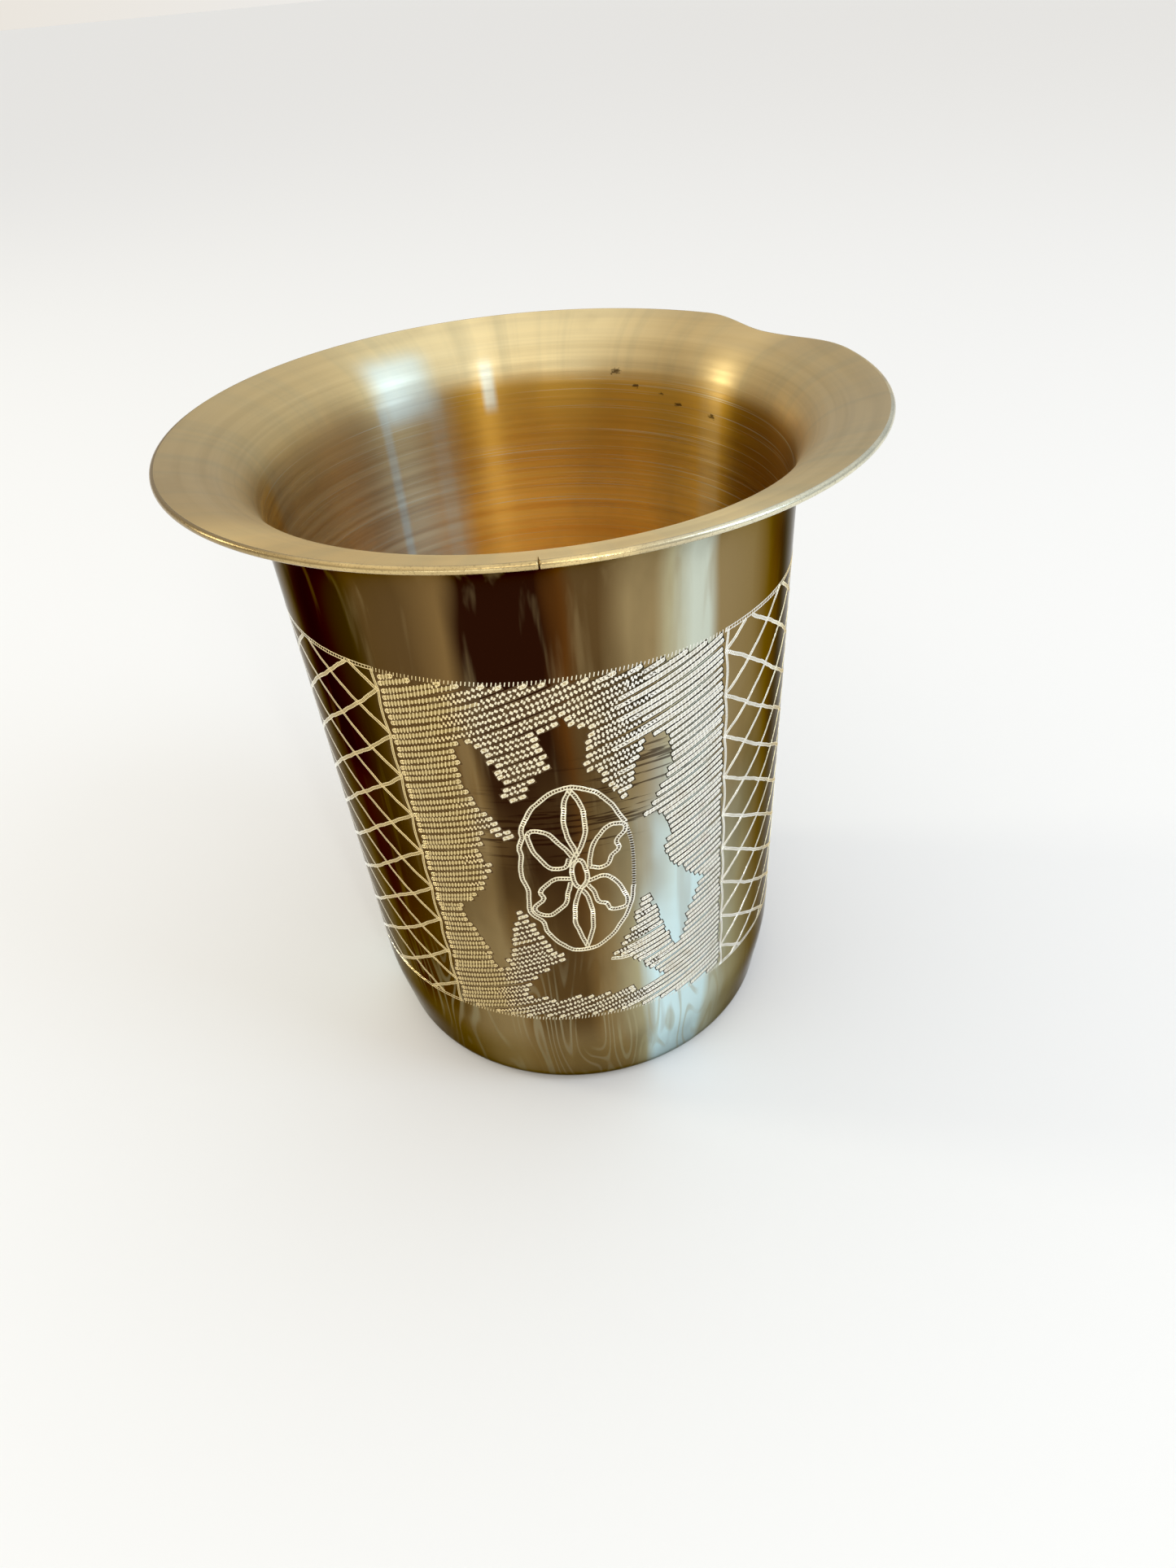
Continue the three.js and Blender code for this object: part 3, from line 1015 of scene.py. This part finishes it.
def scratched(tree, place, base):
    """Darkens the colour along fine scratches that run across the wall near the rubbed spots."""
    lines = noise(tree, (7, 7, 0.42), tilt=(0, 0.1, 0))
    scratch = between(tree, lines, 0.54, 0.62)
    for degrees, rise, reach in RUBBED_SPOTS:
        spot = from_turn(degrees, RUBBED_RADIUS, rise) * MM
        near = between(tree, vector_maths(tree, "DISTANCE", place, spot), reach * 0.5 * MM,
                       reach * MM, 0.75, 0)
        base = mixed(tree, maths(tree, "MULTIPLY", scratch, near), base, "wall_dark")
    return base


def heel_swirl_reflections(tree, height):
    """The contour lines of a tall noise, at nine levels of it, in patches near the heel: painted
    reflections of a patterned floor.
    """
    swirl = noise(tree, (4.2, 4.2, 34), 0, offset=(0, 5, 1), distortion=0.15)
    nested = maths(tree, "PINGPONG", maths(tree, "MULTIPLY", swirl, 9), 0.5)
    lines = between(tree, nested, 0.28, 0.44)
    some = between(tree, noise(tree, (7, 7, 16), 1), 0.38, 0.52)
    low = between(tree, height, 13, 32, 0.45, 0)
    return maths(tree, "MULTIPLY", maths(tree, "MULTIPLY", lines, some), low)


def browned_polished_brass(tree):
    """Brass sheet spun on a lathe, polished, and browned by age under its old lacquer, its brown
    partly a painted reflection of a dark room. It gives a dark mirror with soft columns of brown,
    olive and pale grey that are painted reflections, fine turning ripples and hairlines, paler
    swirls at the heel that are painted reflections of a patterned floor, and painted shade at the
    bottom edge."""
    place, turn, height = place_on_cup(tree)
    sway = between(tree, noise(tree, (9, 9, 40), 2), 0.2, 0.8, -2.4, 2.4)
    turn = maths(tree, "ADD", turn, sway)
    wander = between(tree, noise(tree, (8, 8, 12), 2), 0.2, 0.8, -8, 8)
    up = between(tree, maths(tree, "ADD", height, wander), 18, 68)
    # Painted reflections: tones of the wall's columns by turn angle, up at the throat and down at
    # the foot
    throat = column_ramp(tree, turn, [(degrees, name) for degrees, name, _ in REFLECTION_COLUMNS])
    foot = column_ramp(tree, turn, [(degrees, name) for degrees, _, name in REFLECTION_COLUMNS])
    base = mixed(tree, up, foot, throat)
    patch = noise(tree, (11, 11, 30), 4, offset=(3, 1, 2))
    base = tinted(tree, base, "wall_shade", patch, 0.48, 0.7, 0, 0.35)
    smear = noise(tree, (2.2, 2.2, 26), offset=(1, 7, 4), distortion=0.3)
    base = tinted(tree, base, "wall_khaki", smear, 0.54, 0.72, 0, 0.3)
    # Painted reflection of a patterned floor: pale grey swirls near the heel
    base = mixed(tree, heel_swirl_reflections(tree, height), base, "wall_grey")
    base = tinted(tree, base, "wall_khaki", height, 9, 17, 0.6, 0, "LIGHTEN")
    # Painted shade: darker towards the bottom edge of the heel, next to the floor
    base = tinted(tree, base, "wall_shade", height, 0.5, 6, 0.4, 0)
    base = scratched(tree, place, base)
    ripple = noise(tree, (30, 30, 0.45), 2)
    hairline = noise(tree, (0.35, 0.35, 9), 2)
    finished(tree, base, between(tree, patch, 0.3, 0.7, 0.08, 0.18),
             Normal=bumped(tree, (ripple, 0.004, 0.5), (hairline, 0.002, 0.3)),
             Specular_Tint=(0.36, 0.33, 0.28, 1))


# Tarnish specks up the inside, as turn angle, height and half width in millimetres
SPECKS = ((154.5, 83.5, 0.75), (149, 81.7, 0.45), (136.4, 79.9, 0.6), (125.2, 79.3, 0.7),
          (141.5, 81, 0.35), (-72, 78, 0.4), (-25, 72, 0.5), (60, 76, 0.5))
SPECK_RADIUS = 31.9
SPECK_SQUASH = (1, 1, 2.2)
# Columns of painted reflection down inside, pale or greyer where windows are mirrored and deeper
# gold as painted shade: turn angle, half width, soft edge, strength, colour
INSIDE_REFLECTION_COLUMNS = ((-128, 30, 7, 1, "inside_dull"), (96, 18, 18, 1, "inside_deep"),
                  (-142.5, 0.5, 1.5, 0.7, "inside_pale"), (-157, 0.8, 2.5, 0.35, "inside_pale"),
                  (126, 2, 3, 0.3, "inside_dull"))
# Painted highlights: pale streaks where the flare mirrors windows, as turn angle, half width, soft
# edge, strength, and the heights in millimetres where each starts, is full, starts to fade and is
# gone
WINDOW_HIGHLIGHT_STREAKS = ((-150, 4, 7, 0.65, 78.5, 81.5, 86.6, 88.6),
                (-172, 0.7, 1.8, 0.7, 78, 80.5, 84, 86.5))


def speckled(tree, place, base):
    """Darkens the colour in the tarnish specks, which are wider than tall and frayed."""
    fray = noise(tree, (0.5, 0.5, 0.25), 2)
    for degrees, rise, half in SPECKS:
        off = vector_maths(tree, "SUBTRACT", place, from_turn(degrees, SPECK_RADIUS, rise) * MM)
        far = vector_maths(tree, "LENGTH", vector_maths(tree, "MULTIPLY", off, SPECK_SQUASH))
        base = tinted(tree, base, "speck", maths(tree, "MULTIPLY", far, fray),
                      half * 0.35 * MM, half * 0.6 * MM, 0.85, 0)
    return base


def satin_turned_brass(tree):
    """The inside of the same sheet, left as it came off the lathe: fine turning lines run round
    the cup and cross at a slant, so a highlight is drawn out up and down into a soft streak.
    It is paler up on the flare, with a few tarnish specks. Columns of other tone down inside are
    painted reflections and painted shade, and the pale streaks and the paler back of the mouth are
    painted highlights."""
    place, turn, height = place_on_cup(tree)
    turning = noise(tree, (60, 60, 0.45), 4)
    slanted = noise(tree, (60, 60, 0.8), 4, tilt=(0.09, -0.06, 0))
    fine = noise(tree, (28, 28, 0.17), 2, tilt=(0.03, 0.02, 0))
    around = vector_maths(tree, "NORMALIZE",
                          vector_maths(tree, "CROSS_PRODUCT", (0, 0, 1), place))

    deep = "inside"
    # Painted reflections and painted shade in columns down inside
    for *column, name in INSIDE_REFLECTION_COLUMNS:
        deep = mixed(tree, streak(tree, turn, *column), deep, name)
    deep = tinted(tree, deep, "inside_deep", height, 62, 80, 0, 0.5)
    deep = mixed(tree, between(tree, height, 22, 52), "inside", deep)
    deep = tinted(tree, deep, "inside_pale", fine, 0.56, 0.76, 0, 0.4)

    # Painted highlight: paler at the back of the mouth
    back = between(tree, maths(tree, "ABSOLUTE", turn), 138, 165)
    brushed = add_node(tree, "TexNoise", {"Vector": around, "Scale": 12, "Detail": 3})
    mouth = mixed(tree, back, "flare", "flare_back")
    mouth = tinted(tree, mouth, "wall_grey", brushed.outputs["Fac"], 0.42, 0.72, 0, 0.3)

    metal = mixed(tree, between(tree, height, 81.4, 84.6), deep, mouth)
    # Painted highlights: the pale window streaks on the flare
    for *column, start, full, fading, gone in WINDOW_HIGHLIGHT_STREAKS:
        risen = between(tree, height, start, full)
        left = between(tree, height, fading, gone, 1, 0)
        rubbed = maths(tree, "MULTIPLY", streak(tree, turn, *column), risen)
        metal = mixed(tree, maths(tree, "MULTIPLY", rubbed, left), metal, "inside_pale")
    metal = tinted(tree, metal, "speck", turning, 0.35, 0.75, 0, 0.1, "MULTIPLY")
    cloud = noise(tree, (9, 9, 14))
    metal = tinted(tree, metal, "wall_khaki", cloud, 0.5, 0.8, 0, 0.2)
    metal = speckled(tree, place, metal)
    bump = bumped(tree, (turning, 0.01, 0.6), (fine, 0.006, 0.5), (slanted, 0.008, 0.5))
    finished(tree, metal, between(tree, slanted, 0.3, 0.7, 0.36, 0.46), Normal=bump,
             Anisotropic=0.94, Anisotropic_Rotation=0.25, Tangent=around)


# Where the lip has a painted highlight on the right and where it is khaki, as streaks
LIP_HIGHLIGHT = (48, 18, 25, 0.5)
LIP_DULL = (-68, 25, 25, 0.9)


def worn_lip_brass(tree):
    """The edge of the sheet, filed round and rubbed bright by hands: pale, with tiny nicks, a
    painted highlight on the right and khaki to the left.
    """
    _, turn, _ = place_on_cup(tree)
    grain = noise(tree, (0.22, 0.22, 0.22))
    base = tinted(tree, "lip", "wall_khaki", noise(tree, (7, 7, 7), 2), 0.4, 0.65,
                  0, 0.45)
    # Painted highlight: a pale streak on the right of the lip
    base = mixed(tree, streak(tree, turn, *LIP_HIGHLIGHT), base, "inside_pale")
    base = mixed(tree, streak(tree, turn, *LIP_DULL), base, "wall_khaki")
    base = tinted(tree, base, "speck", grain, 0.5, 0.75, 0, 0.35)
    finished(tree, base, between(tree, grain, 0.3, 0.7, 0.16, 0.3),
             Normal=bumped(tree, (grain, 0.01, 0.6)))


def turned_base_brass(tree):
    """The underside: flat, with the rings of the turning tool, scuffed by standing on stone."""
    place, _, _ = place_on_cup(tree)
    rings = add_node(tree, "TexNoise", {
        "W": vector_maths(tree, "LENGTH", place), "Scale": 1 / (0.6 * MM), "Detail": 3},
        noise_dimensions="1D").outputs["Fac"]
    scuff = noise(tree, (1.2, 7, 7), 4)
    base = mixed(tree, between(tree, rings, 0.3, 0.7), "wall", "flare")
    base = tinted(tree, base, "wall_dark", scuff, 0.55, 0.75, 0, 0.6)
    finished(tree, base, between(tree, scuff, 0.3, 0.7, 0.28, 0.5),
             Normal=bumped(tree, (rings, 0.02, 1)))


def cut_brass(tree, columns, rough):
    """Metal worked by a rocking graver. The cuts themselves are clean and bright, the floor of a
    row between them is half bright, and the low parts beside a row are dark with painted shade.
    Each is golden on the left of a panel and paler on the right, which is painted light."""
    _, turn, _ = place_on_cup(tree)
    # Painted light and shade: tone by turn angle, golden on the left and pale on the right
    base = column_ramp(tree, turn, columns)
    grain = noise(tree, (1.6, 1.6, 1.6))
    finished(tree, tinted(tree, base, "wall_khaki", grain, 0.45, 0.75, 0, 0.2), rough)


def matt_floor(tree):
    """Plain matt paper or plaster: pale and even, with hardly any sheen."""
    finished(tree, "floor", 0.9, Metallic=0, Specular_IOR_Level=0.1)


# The stage: camera, floor and lamps

# The camera of the photograph, from the fit of the rim, the band and the outline
CAMERA_PLACE = (0, -128.94, 130.46)
CAMERA_YAW = math.radians(1.622)
CAMERA_PITCH = math.radians(37.130)
CAMERA_ROLL = math.radians(-5.342)
FOCAL_PIXELS = 1336
LONG_SIDE_PIXELS = 1927
SENSOR_LONG_SIDE = 36

# Lamps: name, turn angle and elevation as seen from the cup, distance in metres, width and
# height in metres, watts, colour
LAMPS = (
    ("right_softbox", 66, 35, 0.85, (0.28, 0.64), 1.5, "#cfe6ff"),
    ("front_softbox", 17, 24, 0.80, (0.035, 0.36), 0.55, "#ffffff"),
    ("front_wall_softbox", 0, 45, 0.90, (0.55, 0.28), 0.6, "#fff4da"),
    ("left_softbox", -104, 22, 0.85, (0.13, 0.34), 1, "#fffbe6"),
    ("low_front_softbox", -22, 9, 0.90, (0.40, 0.22), 0.6, "#e6f1ff"),
)
# The height that the lamps face
LIT_MIDDLE = 60 * MM
# The room's tones to the left and to the right, its light near the horizon and overhead, and how
# much more there is at the horizon
ROOM_TONES = ("#ede4d6", "#f6faff")
ROOM_LOW = 0.6
ROOM_HIGH = 1.22
ROOM_HORIZON = 0.36
# Half the side of the floor in metres
FLOOR_HALF = 12


def add_camera():
    """The camera of the photograph. Turned up by a right angle it looks along +Y, and from there it
    pitches down, yaws right and rolls."""
    data = bpy.data.cameras.new("photo_camera")
    data.sensor_width = SENSOR_LONG_SIDE
    data.lens = FOCAL_PIXELS / LONG_SIDE_PIXELS * SENSOR_LONG_SIDE
    data.clip_start = 0.005
    data.clip_end = 60
    camera = bpy.data.objects.new("photo_camera", data)
    bpy.context.scene.collection.objects.link(camera)
    camera.matrix_world = (Matrix.Translation(Vector(CAMERA_PLACE) * MM)
                           @ Matrix.Rotation(-CAMERA_YAW, 4, "Z")
                           @ Matrix.Rotation(math.pi / 2 - CAMERA_PITCH, 4, "X")
                           @ Matrix.Rotation(CAMERA_ROLL, 4, "Z"))
    bpy.context.scene.camera = camera


def add_floor():
    """A wide plain floor at the height of the base."""
    half = FLOOR_HALF
    corners = ((-half, -half, 0), (half, -half, 0), (half, half, 0), (-half, half, 0))
    floor = add_piece("floor", corners, [(0, 1, 2, 3)], [painted("pale_matt_floor", matt_floor)])


def add_lamp(name, degrees, elevation, distance, size, watts, code):
    """A soft lamp that faces the middle of the cup."""
    data = bpy.data.lights.new(name, "AREA")
    data.shape = "RECTANGLE"
    data.size, data.size_y = size
    data.energy = watts
    data.color = linear_rgb(code)
    lamp = bpy.data.objects.new(name, data)
    bpy.context.scene.collection.objects.link(lamp)
    rise = math.radians(elevation)
    way = from_turn(degrees, math.cos(rise), math.sin(rise))
    lamp.location = way * distance + Vector((0, 0, LIT_MIDDLE))
    lamp.rotation_euler = (-way).to_track_quat("-Z", "Y").to_euler()


def add_world():
    """A plain soft room: brightest overhead, warmer on the left and cooler on the right."""
    world = bpy.data.worlds.new("soft_room")
    world.use_nodes = True
    tree = world.node_tree
    tree.nodes.clear()
    place = add_node(tree, "TexCoord").outputs["Generated"]
    axes = add_node(tree, "SeparateXYZ", {"Vector": place}).outputs
    sky = mixed(tree, between(tree, axes["X"], -0.8, 0.6), *ROOM_TONES)
    rising = between(tree, axes["Z"], 0.2, 1, ROOM_LOW, ROOM_HIGH)
    horizon = between(tree, axes["Z"], 0.02, 0.06, ROOM_HORIZON, 0)
    light = add_node(tree, "Background", {"Color": sky,
                                          "Strength": maths(tree, "ADD", rising, horizon)})
    add_node(tree, "OutputWorld", {"Surface": light.outputs["Background"]})
    bpy.context.scene.world = world


class PANCHPATRA_OT_stage(bpy.types.Operator):
    """Adds the camera, the plain floor, the soft lamps and the room"""
    bl_idname = "panchpatra.stage"
    bl_label = "Add Stage"

    def execute(self, context):
        add_camera()
        add_floor()
        for lamp in LAMPS:
            add_lamp(*lamp)
        add_world()
        context.scene.view_settings.view_transform = "Standard"
        return {"FINISHED"}


class PANCHPATRA_PT_panel(bpy.types.Panel):
    """Lists the cup's sizes, colours and pieces"""
    bl_idname = "PANCHPATRA_PT_panel"
    bl_label = "Panchpatra"
    bl_space_type = "VIEW_3D"
    bl_region_type = "UI"
    bl_category = "Panchpatra"

    def draw(self, context):
        for group_name in GROUPS:
            group = getattr(context.scene, group_name)
            box = self.layout.box()
            for name in group.bl_rna.properties.keys():
                if name not in ("rna_type", "name"):
                    box.prop(group, name)
        for operator in OPERATORS:
            self.layout.operator(operator.bl_idname)


OPERATORS = (PANCHPATRA_OT_shell, PANCHPATRA_OT_hatching, PANCHPATRA_OT_flowers,
             PANCHPATRA_OT_lattices, PANCHPATRA_OT_borders, PANCHPATRA_OT_stage)
GROUPS = {"panchpatra_shell": ShellSizes, "panchpatra_band": BandSizes,
          "panchpatra_colours": BrassColours}
CLASSES = (*GROUPS.values(), *OPERATORS, PANCHPATRA_PT_panel)


def register():
    """Registers the classes, and gives each scene its sizes and colours."""
    for some in CLASSES:
        bpy.utils.register_class(some)
    for name, group in GROUPS.items():
        setattr(bpy.types.Scene, name, PointerProperty(type=group))


def unregister():
    """Takes the sizes, the colours and the classes out again."""
    for name in GROUPS:
        delattr(bpy.types.Scene, name)
    for some in reversed(CLASSES):
        bpy.utils.unregister_class(some)


def main():
    """Builds the cup and its stage."""
    register()
    bpy.ops.panchpatra.shell()
    bpy.ops.panchpatra.hatching()
    bpy.ops.panchpatra.flowers()
    bpy.ops.panchpatra.lattices()
    bpy.ops.panchpatra.borders()
    bpy.ops.panchpatra.stage()


if __name__ == "__main__":
    main()
